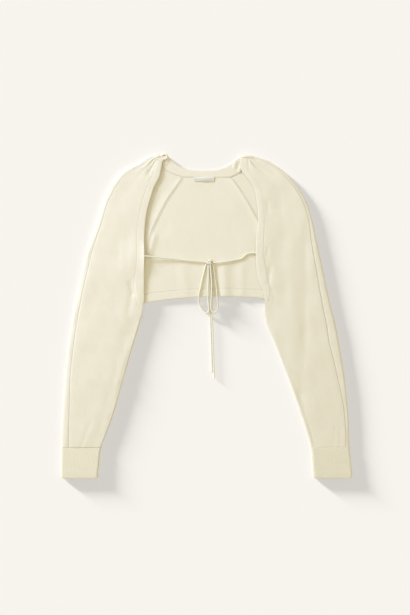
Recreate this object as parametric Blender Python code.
"""A cropped tie-front cardigan in fine knit, laid flat on a surface.

X runs to the right and Y towards the neck, as the garment is seen from above, and Z runs up
from the surface. The origin is under the middle of the garment. Left and right are the
sides as seen from above. Tables and sizes are in millimetres, and meshes in metres.
"""

import math

import bmesh
import bpy
import numpy as np

MM = 0.001

# Thicknesses and gaps
CLOTH = 2.2
BAND = 3.0
CUFF_WALL = 2.8
LABEL = 0.8
SEAM = 0.3
SLANTED_SEAM = 0.24

# How the layers lie
TOP = 5.6
FOLD = (TOP - CLOTH / 2) / 2
FOLD_HEIGHT = CLOTH / 2 + FOLD
RIDGE_WIDTH = 10.0
RIDGE_HEIGHT = 0.9
EASE = 40.0
FLAT_END = 8.0
LOWEST_FRONT = 1.5 * CLOTH + SEAM
BAND_DROP = 0.4
HEM_BOW = 9.0
HEM_BOW_SECTIONS = 5
SHOULDER_ROLL = 2.5

# Gathers at the shoulder
PLEATS = 3.5
PLEAT_HEIGHT = 1.7
PLEAT_REACH = 75.0

# Cords
CORD = 3.6
CORD_STEP = 9.5
KNOT_CENTRE = (6.8, 117.5, 7.4)
KNOT_SIZE = (14.5, 12.5, 9.4)

# Each sleeve has a row for each section, from the shoulder to the cuff. A section runs from
# the outer edge to the front seam (then the underarm seam), and the band from there to its
# free edge. Under it the back runs to the raglan seam. overarm is how far the overarm seam
# lies inside the outer edge, crown is how much the top swells, lift is the height of the
# front seam, closed is 1 where the sleeve is a tube, and steps divides the stretch to the
# next row.
SLEEVE_COLUMNS = ("outer_x outer_y front_x front_y edge_x edge_y back_x back_y"
                  " overarm crown lift closed steps")
LEFT_SLEEVE = (
    (-108, 361, -106, 352, -90, 355, -53, 310, 3, 0.4, 6.6, 0, 1),
    (-127, 355, -113, 342, -98, 346, -60, 300, 4, 1.0, 7.0, 0, 1),
    (-150, 341.5, -118, 326, -103, 328, -69, 287, 4, 1.4, 7.0, 0, 1),
    (-177, 328, -122, 312, -106, 312, -79, 273, 4, 1.6, 6.8, 0, 1),
    (-199, 310, -133, 289, -118, 288, -90, 256, 4, 1.6, 6.6, 0, 1),
    (-217, 281, -141, 266, -125.5, 265, -101, 236, 4, 1.6, 6.4, 0, 1),
    (-230.6, 254, -147.5, 243, -132, 244, -111, 215, 4, 1.6, 6.4, 0, 2),
    (-245, 206, -154, 206, -138.3, 206, -122, 191, 5, 1.6, 6.4, 0, 2),
    (-258, 168, -156.5, 170, -140.6, 170, -130, 165, 5, 1.6, 6.4, 0, 1),
    (-268.5, 134, -156.5, 134, -140, 134, -136.5, 134, 5, 1.6, 6.4, 0, 2),
    (-277, 98, -159, 98, -140.6, 98, -142, 98, 5, 1.6, 6.2, 0, 1),
    (-284, 68, -163, 70, -140.6, 67, -145, 68, 5, 1.6, 5.8, 0, 1),
    (-289, 44, -161, 43, -140.6, 46, -146, 44, 5, 1.6, 5.2, 0, 1),
    (-292.5, 27, -156, 25, -140.6, 33, -142.5, 27, 5, 1.6, 4.9, 0, 1),
    (-296, 9, -145.5, 8, -141, 26, -145, 8.5, 5, 1.6, 4.8, 0, 2),
    (-301, -20, -152, -20, -152, -20, -152, -20, 6, 1.6, 5.6, 1, 2),
    (-308, -68, -166.5, -68, -166.5, -68, -166.5, -68, 8, 1.6, 5.6, 1, 2),
    (-316.3, -147, -189, -147, -189, -147, -189, -147, 10, 1.6, 5.6, 1, 2),
    (-322, -225.6, -211.5, -225.6, -211.5, -225.6, -211.5, -225.6, 14, 1.4, 5.6, 1, 1),
    (-323.7, -265, -226, -265, -226, -265, -226, -265, 14, 1.1, 5.6, 1, 2),
    (-324, -299, -238.5, -299, -238.5, -299, -238.5, -299, 14, 0.6, 5.6, 1, 0),
)
RIGHT_SLEEVE = (
    (96, 359.5, 93, 350, 77, 354, 55, 309, 3, 0.4, 6.6, 0, 1),
    (112, 354, 92.5, 338, 76.5, 341, 62, 299, 4, 1.0, 7.0, 0, 1),
    (131.6, 348, 94, 324, 80, 324, 70, 288, 4, 1.4, 7.0, 0, 1),
    (150, 338, 103, 311, 90, 311, 79, 275, 4, 1.6, 6.8, 0, 1),
    (169, 325, 112, 300, 99, 300, 89, 258, 4, 1.6, 6.6, 0, 1),
    (193, 300, 121, 282, 109, 281, 99, 241, 4, 1.6, 6.4, 0, 1),
    (216, 267, 127, 257, 113.7, 257, 109, 223, 4, 1.6, 6.4, 0, 2),
    (236, 212, 130.3, 212, 117, 212, 119.5, 200, 6, 1.6, 6.4, 0, 2),
    (246, 166, 129, 168, 112.5, 168, 126.5, 168, 10, 1.6, 6.4, 0, 1),
    (252.5, 138, 128.5, 138, 111.4, 138, 131, 138, 12, 1.6, 6.4, 0, 2),
    (260, 102, 135, 102, 113.8, 102, 135, 102, 13, 1.6, 6.2, 0, 1),
    (266, 74, 140, 74, 119, 74, 137.5, 74, 14, 1.6, 5.8, 0, 1),
    (270, 54, 143, 53, 126.5, 57, 138.5, 54, 15, 1.6, 5.2, 0, 1),
    (273.7, 38, 140.5, 35, 129.3, 45, 132.5, 37.5, 15, 1.6, 4.9, 0, 1),
    (278, 18, 131.8, 18, 130.5, 37.5, 132, 18, 16, 1.6, 4.8, 0, 2),
    (286.5, -13, 134.5, -13, 134.5, -13, 134.5, -13, 18, 1.6, 5.6, 1, 2),
    (296, -62, 154, -62, 154, -62, 154, -62, 20, 1.6, 5.6, 1, 2),
    (308, -136, 182.3, -136, 182.3, -136, 182.3, -136, 14, 1.6, 5.6, 1, 2),
    (316.6, -214, 210.4, -214, 210.4, -214, 210.4, -214, 7, 1.4, 5.6, 1, 1),
    (318.8, -260, 225.5, -260, 225.5, -260, 225.5, -260, 6, 1.1, 5.6, 1, 2),
    (319.5, -298, 236.5, -298, 236.5, -298, 236.5, -298, 6, 0.6, 5.6, 1, 0),
)

# Rows of the sleeve tables where something begins or ends
HEM_SEAM_ROW = 12
HEM_EDGE_ROW = 13
UNDERARM_ROW = 14

# The neck seam, from the left shoulder fold to the right one, with the free edge above it
NECK_COLUMNS = "seam_x seam_y edge_x edge_y"
NECK_LEFT = (
    (-104.5, 357.5, -89, 357.5),
    (-102, 344, -82, 350),
    (-94, 328, -73, 341),
    (-80, 319, -64, 334.5),
    (-66, 313.5, -57, 330.5),
    (-53, 310, -48, 328),
)
NECK_MIDDLE = (
    (-53, 310, -48, 328),
    (-28, 309.3, -28, 324.5),
    (0, 308.6, -3, 323.8),
    (28, 308.4, 22, 325),
    (55, 309, 45, 332),
)
NECK_RIGHT = (
    (91.5, 356, 76.5, 356),
    (88, 341, 69, 349.5),
    (82, 329, 63.5, 345),
    (74, 320, 58, 341),
    (65, 313.5, 52, 337),
    (55, 309, 45, 332),
)

# Each cuff has its upper and lower edge, from the outer to the inner side
CUFF_COLUMNS = "outer_x outer_y inner_x inner_y height"
LEFT_CUFF = (
    (-324, -299.3, -238.8, -299.3, 6.0),
    (-324.3, -310, -240.8, -310, 6.3),
    (-325, -350, -244.6, -350, 6.6),
    (-325.2, -353, -245.2, -353, 7.4),
    (-325, -366.3, -245.3, -366.3, 6.8),
)
RIGHT_CUFF = (
    (319.6, -298.3, 236.6, -298.3, 6.0),
    (320.6, -309, 238.4, -309, 6.3),
    (325.2, -350, 241, -350, 6.6),
    (325.9, -353, 241.4, -353, 7.4),
    (326.3, -366.3, 242, -366.3, 6.8),
)

# Soft ridges (rise above 0) and troughs (rise below 0), each along a straight line
CREASE_COLUMNS = "start_x start_y end_x end_y width rise"
SLEEVE_CREASES = (
    (-179, 168, -190, 78, 9, -1.3),
    (-170, 70, -178, 30, 6, -1.2),
    (-152, 36, -148, 14, 5, 0.8),
    (-196, -70, -222, -190, 16, 1.6),
    (-176, -10, -196, -70, 12, -1.1),
    (-284, -250, -287, -296, 4, 0.9),
    (-308, -255, -311, -296, 4, 0.9),
    (178, 95, 184, -40, 13, 2.2),
    (210, 185, 213, -190, 18, -1.9),
    (200, -120, 204, -205, 12, -1.0),
    (133, 236, 134, 215, 5, -1.3),
    (136, 145, 134, 128, 5, -1.2),
    (143, 92, 145, 52, 5, -1.3),
    (190, 292, 226, 236, 9, 1.6),
    (250, 60, 292, -190, 6, 1.4),
    (286, -256, 283, -294, 4, 0.9),
    (299, -256, 298, -294, 4, 0.9),
)
BACK_CREASES = (
    (48, 118, 46, 60, 15, 4.2),
    (72, 108, 71, 52, 9, 1.8),
    (-52, 104, -46, 60, 12, 2.4),
)

# The label's middle, and its size
LABEL_MIDDLE = (-5.0, 303.5)
LABEL_SIZE = (46.0, 13.5)
LABEL_BEND = 303.5
LABEL_FLAT = 307.0

# The cords' routes, from where each one leaves the cloth or the knot
TIE_LEFT = ((-139.2, 133, 6.6), (-128, 132.4, 6.3), (-110, 131, 5.2), (-74, 128, 5.0),
            (-50, 124.6, 5.6), (-26, 121.8, 4.8), (-6, 119, 6.0), (-0.9, 118.3, 6.8))
TIE_RIGHT = ((110.0, 139, 6.8), (101, 139.2, 6.5), (90, 136, 6.0), (80, 127.5, 6.2),
             (58, 122, 8.6), (38, 118.6, 8.2), (22, 117.3, 7.2), (14.5, 117.2, 6.8))
LOOP_LEFT = ((-1.0, 113.2, 5.6), (-4.5, 101, 4.6), (-8.5, 84, 4.6), (-13, 64, 5.0), (-17, 45, 5.6),
             (-18.0, 34, 3.6), (-15.6, 23, 2.2), (-9.5, 11.5, 2.2), (-1.8, 4.3, 3.6), (4.4, 7.2, 5.8),
             (5.2, 17, 6.0), (3.2, 30, 6.8), (2.6, 44, 9.2), (3.0, 60, 9.2), (4.2, 80, 8.6),
             (4.0, 98, 8.6), (4.0, 110.6, 8.8))
LOOP_RIGHT = ((14.6, 113.2, 5.8), (16.5, 102, 4.9), (18.6, 85, 5.0), (21.5, 64, 5.6),
              (23.5, 45, 6.0), (25.0, 30, 3.6), (25.6, 18, 2.2), (22.6, 7.5, 3.2), (16.2, 4.0, 5.8),
              (11.0, 10.5, 6.2), (10.2, 24, 7.0), (11.0, 40, 9.6), (11.4, 60, 9.6), (11.0, 80, 8.8),
              (9.4, 98, 8.6), (8.6, 110.6, 8.8))
TAIL_LEFT = ((4.6, 110.8, 4.4), (5.4, 98, 4.4), (6.2, 78, 4.5), (7.2, 58, 5.3), (7.8, 40, 5.3),
             (8.0, 28, 2.9), (8.0, 14, 2.0), (8.3, -10, 1.9), (9.6, -38, 1.9), (10.6, -70, 1.9),
             (11.6, -100, 1.9), (12.4, -129, 1.9))
TAIL_RIGHT = ((9.0, 110.8, 4.4), (9.6, 98, 4.4), (10.6, 78, 4.5), (11.4, 58, 5.4), (11.9, 40, 5.4),
              (12.0, 28, 2.9), (12.1, 14, 2.0), (12.4, -10, 1.9), (13.6, -38, 1.9),
              (14.7, -70, 1.9), (15.8, -100, 1.9), (17.6, -142, 1.9))

# Divisions
FRONT_SPANS = 12
CURL_SPANS = 3
OVERARM_SPANS = 3
FOLD_SPANS = 2
FLOOR_SPANS = 5
PANEL_SPANS = 16
BAND_SPANS = 2
CUFF_SPANS = 12


def table(columns, rows):
    """Name the columns of a table."""
    return dict(zip(columns.split(), np.array(rows, float).T))


def through(knots, values, at):
    """Read a smooth curve through values at the places asked for."""
    slopes = np.gradient(values, knots)
    k = np.clip(np.searchsorted(knots, at, side="right") - 1, 0, len(knots) - 2)
    span = knots[k + 1] - knots[k]
    f = (at - knots[k]) / span
    rise = (3 - 2 * f) * f ** 2
    start = f * (1 - f) ** 2 * span * slopes[k]
    end = f ** 2 * (f - 1) * span * slopes[k + 1]
    return values[k] * (1 - rise) + values[k + 1] * rise + start + end


def smooth_step(x):
    """Rise softly from 0 to 1."""
    x = np.clip(x, 0, 1)
    return x * x * (3 - 2 * x)


def sections(columns, rows):
    """Put sections between the rows of a sleeve table, as its steps column says."""
    rows = table(columns, rows)
    steps = rows.pop("steps").astype(int)
    places = [k + n / steps[k] for k in range(len(steps) - 1) for n in range(steps[k])]
    places = np.array(places + [len(steps) - 1])
    middle_x = (rows["outer_x"] + rows["front_x"]) / 2
    middle_y = (rows["outer_y"] + rows["front_y"]) / 2
    gaps = np.hypot(np.diff(middle_x), np.diff(middle_y))
    knots = np.concatenate([[0], np.cumsum(gaps)])
    at = np.interp(places, np.arange(len(steps)), knots)
    result = {name: through(knots, values, at) for name, values in rows.items()}
    for name in ("closed", "overarm", "crown", "lift"):
        result[name] = np.interp(at, knots, rows[name])
    result["along"] = at
    marks = {row: int(np.sum(steps[:row])) for row in (HEM_SEAM_ROW, HEM_EDGE_ROW, UNDERARM_ROW)}
    return result, marks


def relief(creases, x, y):
    """Height that the creases of a table add at a point of the cloth."""
    rows = table(CREASE_COLUMNS, creases)
    total = np.zeros(np.shape(x))
    for k in range(len(creases)):
        ax, ay = rows["start_x"][k], rows["start_y"][k]
        dx, dy = rows["end_x"][k] - ax, rows["end_y"][k] - ay
        length = math.hypot(dx, dy)
        along = ((x - ax) * dx + (y - ay) * dy) / length
        across = ((x - ax) * dy - (y - ay) * dx) / length
        past = np.maximum(0, np.maximum(-along, along - length))
        reach = rows["width"][k]
        total = total + rows["rise"][k] * np.exp(-(across / reach) ** 2 - (past / (1.5 * reach)) ** 2)
    return total


class Sleeve:
    """The sections of one sleeve, from which its pieces and its front band are made."""

    def __init__(self, rows):
        self.rows, self.marks = sections(SLEEVE_COLUMNS, rows)
        self.count = len(self.rows["along"])
        self.outer = self.points("outer")
        self.front = self.points("front")
        self.edge = self.points("edge")
        self.back = self.points("back")

    def points(self, name):
        return np.stack([self.rows[name + "_x"], self.rows[name + "_y"]], axis=1)

    def place(self, k, inner, across, height):
        """Points of section k, at distances from the outer edge towards inner."""
        way = (inner - self.outer[k]) / np.linalg.norm(inner - self.outer[k])
        plan = self.outer[k] + np.outer(across, way)
        return np.column_stack([plan, height])

    def top_height(self, k, width, across):
        """Height of the upper layer before its creases."""
        x = np.clip((across - FOLD) / (width - 2 * FOLD), 0, 1)
        crown = self.rows["crown"][k] * (1 - (2 * x - 1) ** 4)
        in_fold = np.clip(1 - across / FOLD, 0, 1)
        return FOLD_HEIGHT + FOLD * np.sqrt(1 - in_fold ** 2) + crown

    def pleats(self, k, width, across):
        """Gathers that fan out from the shoulder."""
        fade = math.exp(-(self.rows["along"][k] / PLEAT_REACH) ** 2)
        side = np.clip(across / width, 0, 1)
        wave = 1 - np.cos(2 * math.pi * PLEATS * side)
        return PLEAT_HEIGHT * fade * smooth_step(2.5 * side) * wave

    def raised(self, k, width, plan, across, height):
        """Upper layer with its pleats and creases, clear of the layer under it."""
        outer, inner = (across - FOLD) / FLAT_END, (width - FOLD - across) / FLAT_END
        ease = smooth_step(outer) * smooth_step(inner)
        extra = relief(SLEEVE_CREASES, plan[:, 0], plan[:, 1]) + self.pleats(k, width, across)
        return np.where(ease > 0, np.maximum(height + ease * extra, LOWEST_FRONT), height)

    def front_half(self):
        """Middle surface of the sleeve's front, from the overarm seam inwards."""
        share = np.linspace(0, 1, FRONT_SPANS + 1) ** 0.9
        even = np.linspace(0, 1, CURL_SPANS + 1)[1:]
        turn = even * math.pi / 2
        grid = []
        for k in range(self.count):
            closed = self.rows["closed"][k]
            width = np.linalg.norm(self.front[k] - self.outer[k])
            curl = FOLD * closed + min(FLAT_END, width / 4) * (1 - closed)
            start = self.rows["overarm"][k] + SEAM / 2
            end = width - SEAM / 2 * (1 - closed)
            across = start + (end - curl - start) * share
            height = self.top_height(k, width, across)
            lift = self.rows["lift"][k]
            ease = smooth_step((across - end + curl) / min(EASE, width / 2) + 1)
            height = height + ease * (lift - height)
            inner = end - curl + curl * (closed * np.sin(turn) + (1 - closed) * even)
            curled = FOLD_HEIGHT + SEAM / 2 + (TOP - FOLD_HEIGHT - SEAM / 2) * np.cos(turn)
            height = np.append(height, closed * curled + (1 - closed) * lift)
            across = np.append(across, inner)
            plan = self.place(k, self.front[k], across, height)
            plan[:, 2] = self.raised(k, width, plan, across, height)
            grid.append(plan)
        return np.array(grid)

    def back_half(self, neck_seam):
        """Middle surface of the sleeve's back, from the overarm seam round the outer fold."""
        share = np.linspace(0, 1, FLOOR_SPANS + 1)[1:]
        even = np.linspace(0, 1, CURL_SPANS + 1)[1:]
        turn = even * math.pi / 2
        grid = []
        for k in range(self.count):
            closed = self.rows["closed"][k]
            overarm = self.rows["overarm"][k] - SEAM / 2
            width = np.linalg.norm(self.front[k] - self.outer[k])
            flat = overarm - FOLD
            run = np.linspace(0, flat + FOLD * math.pi / 2, OVERARM_SPANS + 1)
            angle = math.pi / 2 - np.maximum(run - flat, 0) / FOLD
            across = np.where(run < flat, overarm - run, FOLD * (1 - np.cos(angle)))
            height = self.top_height(k, width, across)
            upper = self.place(k, self.front[k], across, height)
            upper[:, 2] = self.raised(k, width, upper, across, height)
            under = np.linspace(0, math.pi / 2, FOLD_SPANS + 1)[1:]
            reach = np.linalg.norm(self.back[k] - self.outer[k])
            curl = FOLD * closed + RIDGE_WIDTH * (1 - closed)
            end = reach - SLANTED_SEAM * (1 - closed)
            floor = FOLD + (end - curl - FOLD) * share
            inner = end - curl + curl * (closed * np.sin(turn) + (1 - closed) * even)
            ridge = CLOTH / 2 + RIDGE_HEIGHT * np.sin(math.pi * even)
            curled = FOLD_HEIGHT - SEAM / 2 - (FOLD - SEAM / 2) * np.cos(turn)
            across = np.concatenate([FOLD * (1 - np.cos(under)), floor, inner])
            height = np.concatenate([FOLD_HEIGHT - FOLD * np.sin(under),
                                     np.full(FLOOR_SPANS, CLOTH / 2),
                                     closed * curled + (1 - closed) * ridge])
            grid.append(np.vstack([upper, self.place(k, self.back[k], across, height)]))
        grid = np.array(grid)
        return self.fit_to_neck(grid, neck_seam)

    def fit_to_neck(self, grid, neck_seam):
        """Bend the first sections so that the back meets the neck seam."""
        first = OVERARM_SPANS + FOLD_SPANS
        shift = neck_seam - grid[0, first:, :2]
        shift[-1] = 0
        for k in range(self.count):
            fade = 1 - smooth_step(self.rows["along"][k] / PLEAT_REACH)
            grid[k, first:, :2] += fade * shift
        return grid

    def band(self):
        """Middle surface of the front band, from the shoulder fold to the underarm."""
        last = self.marks[UNDERARM_ROW] + 1
        way = self.edge[:last] - self.front[:last]
        width = np.linalg.norm(way, axis=1, keepdims=True)
        start = self.front[:last] + way / width * SEAM
        share = np.linspace(0, 1, BAND_SPANS + 1)
        lift = self.rows["lift"][:last]
        grid = [start + (self.edge[:last] - start) * s for s in share]
        height = [lift - BAND_DROP * s ** 2 for s in share]
        rows = np.dstack([np.stack(grid, axis=1), np.stack(height, axis=1)])
        rows[-1, :, 2] = rows[-2, :, 2]
        return np.concatenate([roll(rows[0], rows[1], 1), rows])


def roll(row, following, side):
    """Sections that turn the end of a band through a quarter circle at the shoulder."""
    away = row - following
    away[:, 2] = 0
    away /= np.linalg.norm(away, axis=1, keepdims=True)
    angles = np.radians([90, 60, 30])
    result = []
    for angle in angles:
        turned = row + away * SHOULDER_ROLL * math.sin(angle)
        drop = (SHOULDER_ROLL - SEAM / 2) * (1 - math.cos(angle))
        turned[:, 2] = row[:, 2] - side * drop
        result.append(turned)
    return np.array(result)


def neck_part(rows, count):
    """Seam and free edge of a stretch of the neckband, at evenly spaced places."""
    rows = table(NECK_COLUMNS, rows)
    gaps = np.hypot(np.diff(rows["seam_x"]), np.diff(rows["seam_y"]))
    knots = np.concatenate([[0], np.cumsum(gaps)])
    at = np.linspace(0, knots[-1], count)
    read = {name: through(knots, values, at) for name, values in rows.items()}
    seam = np.stack([read["seam_x"], read["seam_y"]], axis=1)
    edge = np.stack([read["edge_x"], read["edge_y"]], axis=1)
    return seam, edge


def neckband(parts):
    """Middle surface of the neckband, with its ends turned up at the shoulders."""
    seams = np.concatenate([parts[0][0], parts[1][0][1:], parts[2][0][::-1][1:]])
    edges = np.concatenate([parts[0][1], parts[1][1][1:], parts[2][1][::-1][1:]])
    way = edges - seams
    width = np.linalg.norm(way, axis=1, keepdims=True)
    start = seams + way / width * SEAM
    share = np.linspace(0, 1, BAND_SPANS + 1)
    plan = np.stack([start + (edges - start) * s for s in share], axis=1)
    rows = np.dstack([plan, np.full(plan.shape[:2], BAND / 2)])
    left = roll(rows[0], rows[1], -1)
    right = roll(rows[-1], rows[-2], -1)[::-1]
    return np.concatenate([left, rows, right])


def back_panel(left, right, neck_seam, last):
    """Middle surface of the back, from the neck seam to the hem seam."""
    share = np.linspace(0, 1, PANEL_SPANS + 1)[:, None]
    grid = []
    for k in range(last + 1):
        a, b = left.back[k], right.back[k]
        inset = SLANTED_SEAM * (b - a) / np.linalg.norm(b - a)
        plan = (a + inset) * (1 - share) + (b - inset) * share
        fade = 1 - smooth_step(left.rows["along"][k] / PLEAT_REACH)
        top = left.back[0] * (1 - share) + right.back[0] * share
        plan = plan + fade * (neck_seam - top)
        near_hem = smooth_step((k - last) / HEM_BOW_SECTIONS + 1)
        plan[:, 1] += near_hem * HEM_BOW * (1 - (2 * share[:, 0] - 1) ** 2)
        height = CLOTH / 2 + relief(BACK_CREASES, plan[:, 0], plan[:, 1])
        grid.append(np.column_stack([plan, height]))
    return np.array(grid)


def hem_band(left, right, first, last):
    """Middle surface of the band along the back's lower edge."""
    share = np.linspace(0, 1, PANEL_SPANS + 1)
    rows = []
    for step in np.linspace(0, 1, BAND_SPANS + 1):
        a = left.back[first] * (1 - step) + left.back[last] * step
        b = right.back[first] * (1 - step) + right.back[last] * step
        inset = SLANTED_SEAM * (b - a) / np.linalg.norm(b - a)
        plan = np.outer(1 - share, a + inset) + np.outer(share, b - inset)
        plan[:, 1] += HEM_BOW * (1 - (2 * share - 1) ** 2)
        height = BAND / 2 + relief(BACK_CREASES, plan[:, 0], plan[:, 1])
        rows.append(np.column_stack([plan, height]))
    rows = np.array(rows)
    rows[0, :, 1] -= SEAM
    return rows


def normals(grid, closed=False):
    """Unit normals of a grid of points, and of a closed ring of points where closed."""
    if closed:
        across = np.roll(grid, -1, axis=1) - np.roll(grid, 1, axis=1)
    else:
        across = np.gradient(grid, axis=1, edge_order=2)
    down = np.gradient(grid, axis=0, edge_order=2 if len(grid) > 2 else 1)
    result = np.cross(across, down)
    return result / np.linalg.norm(result, axis=2, keepdims=True)


def square_rim(offset):
    """Stand the rim upright where the cloth lies nearly flat, so that seams meet evenly."""
    for edge in (offset[0], offset[-1], offset[:, 0], offset[:, -1]):
        flat = np.abs(edge[:, 2]) > 0.8
        edge[flat] = np.sign(edge[flat, 2])[:, None] * (0, 0, 1)
    return offset


def material(name, colour, roughness):
    made = bpy.data.materials.new(name)
    made.use_nodes = True
    shader = made.node_tree.nodes["Principled BSDF"]
    shader.inputs["Base Color"].default_value = (*colour, 1)
    shader.inputs["Roughness"].default_value = roughness
    shader.inputs["Metallic"].default_value = 0
    return made


def add_mesh(name, vertices, faces, look):
    """Make a closed mesh object with its faces pointing out."""
    mesh = bpy.data.meshes.new(name)
    mesh.from_pydata([tuple(v) for v in vertices * MM], [], faces)
    work = bmesh.new()
    work.from_mesh(mesh)
    bmesh.ops.recalc_face_normals(work, faces=work.faces)
    work.to_mesh(mesh)
    work.free()
    mesh.shade_smooth()
    mesh.set_sharp_from_angle(angle=math.radians(60))
    mesh.materials.append(look)
    made = bpy.data.objects.new(name, mesh)
    bpy.context.scene.collection.objects.link(made)


def grid_faces(rows, columns, start, closed=False):
    """Quads between the points of a grid, whose first point has the number start."""
    spans = columns if closed else columns - 1
    faces = []
    for r in range(rows - 1):
        for c in range(spans):
            n = (c + 1) % columns
            faces.append((start + r * columns + c, start + r * columns + n,
                          start + (r + 1) * columns + n, start + (r + 1) * columns + c))
    return faces


def wall(name, grid, thickness, look):
    """Give a grid of middle points a thickness and close it along its rim."""
    rows, columns = grid.shape[:2]
    offset = square_rim(normals(grid)) * thickness / 2
    upper, lower = grid + offset, grid - offset
    vertices = np.concatenate([upper.reshape(-1, 3), lower.reshape(-1, 3)])
    vertices[:, 2] = np.maximum(vertices[:, 2], 0)
    count = rows * columns
    faces = grid_faces(rows, columns, 0) + grid_faces(rows, columns, count)
    rim = list(range(columns))
    rim += [r * columns + columns - 1 for r in range(1, rows)]
    rim += [(rows - 1) * columns + c for c in range(columns - 2, -1, -1)]
    rim += [r * columns for r in range(rows - 2, 0, -1)]
    for a, b in zip(rim, rim[1:] + rim[:1]):
        faces.append((a, b, b + count, a + count))
    add_mesh(name, vertices, faces, look)


def tube_wall(name, grid, thickness, look):
    """Give a grid of closed rings a thickness and close its two ends."""
    rows, columns = grid.shape[:2]
    offset = normals(grid, closed=True) * thickness / 2
    vertices = np.concatenate([(grid + offset).reshape(-1, 3), (grid - offset).reshape(-1, 3)])
    vertices[:, 2] = np.maximum(vertices[:, 2], 0)
    count = rows * columns
    faces = grid_faces(rows, columns, 0, True) + grid_faces(rows, columns, count, True)
    for row in (0, rows - 1):
        for c in range(columns):
            a, b = row * columns + c, row * columns + (c + 1) % columns
            faces.append((a, b, b + count, a + count))
    add_mesh(name, vertices, faces, look)


def cuff(name, rows, look):
    """A cuff is a flattened tube with a thicker turned edge."""
    rows = table(CUFF_COLUMNS, rows)
    grid = []
    for k in range(len(rows["height"])):
        outer = np.array([rows["outer_x"][k], rows["outer_y"][k]])
        inner = np.array([rows["inner_x"][k], rows["inner_y"][k]])
        width = np.linalg.norm(inner - outer)
        way = (inner - outer) / width
        fold = (rows["height"][k] - CUFF_WALL / 2) / 2
        turn = np.radians([0, 45, 90, 135, 180])
        flat = np.linspace(fold, width - fold, CUFF_SPANS + 1)[1:-1]
        across = np.concatenate([fold * (1 - np.sin(turn)), flat,
                                 width - fold * (1 - np.sin(turn)), flat[::-1]])
        middle = CUFF_WALL / 2 + fold
        height = np.concatenate([middle - fold * np.cos(turn), np.full(len(flat), middle + fold),
                                 middle + fold * np.cos(turn), np.full(len(flat), middle - fold)])
        grid.append(np.column_stack([outer + np.outer(across, way), height]))
    tube_wall(name, np.array(grid), CUFF_WALL, look)


def cord(name, route, look):
    """A round cord along a smooth curve through its route."""
    route = np.array(route, float)
    gaps = np.linalg.norm(np.diff(route, axis=0), axis=1)
    knots = np.concatenate([[0], np.cumsum(gaps)])
    at = np.linspace(0, knots[-1], int(round(knots[-1] / CORD_STEP)) + 1)
    path = np.stack([through(knots, route[:, axis], at) for axis in range(3)], axis=1) * MM
    curve = bpy.data.curves.new(name, "CURVE")
    curve.dimensions = "3D"
    curve.bevel_depth = CORD / 2 * MM
    curve.bevel_resolution = 2
    curve.use_fill_caps = True
    spline = curve.splines.new("POLY")
    spline.points.add(len(path) - 1)
    for point, place in zip(spline.points, path):
        point.co = (*place, 1)
    made = bpy.data.objects.new(name, curve)
    bpy.context.scene.collection.objects.link(made)
    curve.materials.append(look)


def knot(look):
    """The knot of the bow is a flattened ball."""
    work = bmesh.new()
    bmesh.ops.create_uvsphere(work, u_segments=14, v_segments=9, radius=0.5 * MM)
    bmesh.ops.scale(work, verts=work.verts, vec=KNOT_SIZE)
    mesh = bpy.data.meshes.new("tie_knot")
    work.to_mesh(mesh)
    work.free()
    mesh.shade_smooth()
    mesh.materials.append(look)
    made = bpy.data.objects.new("tie_knot", mesh)
    made.location = [size * MM for size in KNOT_CENTRE]
    bpy.context.scene.collection.objects.link(made)


def label(look):
    """The blank label hangs over the neck seam and lies on the back."""
    columns = np.linspace(-0.5, 0.5, 5) * LABEL_SIZE[0] + LABEL_MIDDLE[0]
    rows = LABEL_MIDDLE[1] + np.array([0.5, 0.3, 0.1, -0.2, -0.5]) * LABEL_SIZE[1]
    x, y = np.meshgrid(columns, rows)
    on_band = smooth_step((y - LABEL_BEND) / (LABEL_FLAT - LABEL_BEND))
    base = CLOTH + (BAND - CLOTH) * on_band
    height = base + SEAM + LABEL / 2
    wall("label", np.dstack([x, y, height]), LABEL, look)


def clear_scene():
    for old in list(bpy.data.objects):
        bpy.data.objects.remove(old, do_unlink=True)


def main():
    clear_scene()
    knit = material("butter_knit", (0.87, 0.80, 0.62), 0.95)
    rib = material("butter_rib", (0.85, 0.78, 0.60), 0.95)
    cord_look = material("knitted_cord", (0.88, 0.83, 0.68), 0.9)
    satin = material("label_satin", (0.93, 0.93, 0.93), 0.55)

    left, right = Sleeve(LEFT_SLEEVE), Sleeve(RIGHT_SLEEVE)
    neck_left = neck_part(NECK_LEFT, FLOOR_SPANS + CURL_SPANS + 1)
    neck_middle = neck_part(NECK_MIDDLE, PANEL_SPANS + 1)
    neck_right = neck_part(NECK_RIGHT, FLOOR_SPANS + CURL_SPANS + 1)
    hem_seam = left.marks[HEM_SEAM_ROW]
    hem_edge = left.marks[HEM_EDGE_ROW]

    panel = back_panel(left, right, neck_middle[0], hem_seam)
    wall("back_panel", panel, CLOTH, knit)
    wall("back_hem_band", hem_band(left, right, hem_seam, hem_edge), BAND, rib)
    wall("neckband", neckband((neck_left, neck_middle, neck_right)), BAND, rib)
    for side, sleeve, neck in (("left", left, neck_left), ("right", right, neck_right)):
        wall("sleeve_front_" + side, sleeve.front_half(), CLOTH, knit)
        wall("sleeve_back_" + side, sleeve.back_half(neck[0]), CLOTH, knit)
        wall("front_band_" + side, sleeve.band(), BAND, rib)
    cuff("cuff_left", LEFT_CUFF, rib)
    cuff("cuff_right", RIGHT_CUFF, rib)
    label(satin)
    knot(cord_look)
    cord("tie_left", TIE_LEFT, cord_look)
    cord("tie_right", TIE_RIGHT, cord_look)
    cord("loop_left", LOOP_LEFT, cord_look)
    cord("loop_right", LOOP_RIGHT, cord_look)
    cord("tail_left", TAIL_LEFT, cord_look)
    cord("tail_right", TAIL_RIGHT, cord_look)


main()
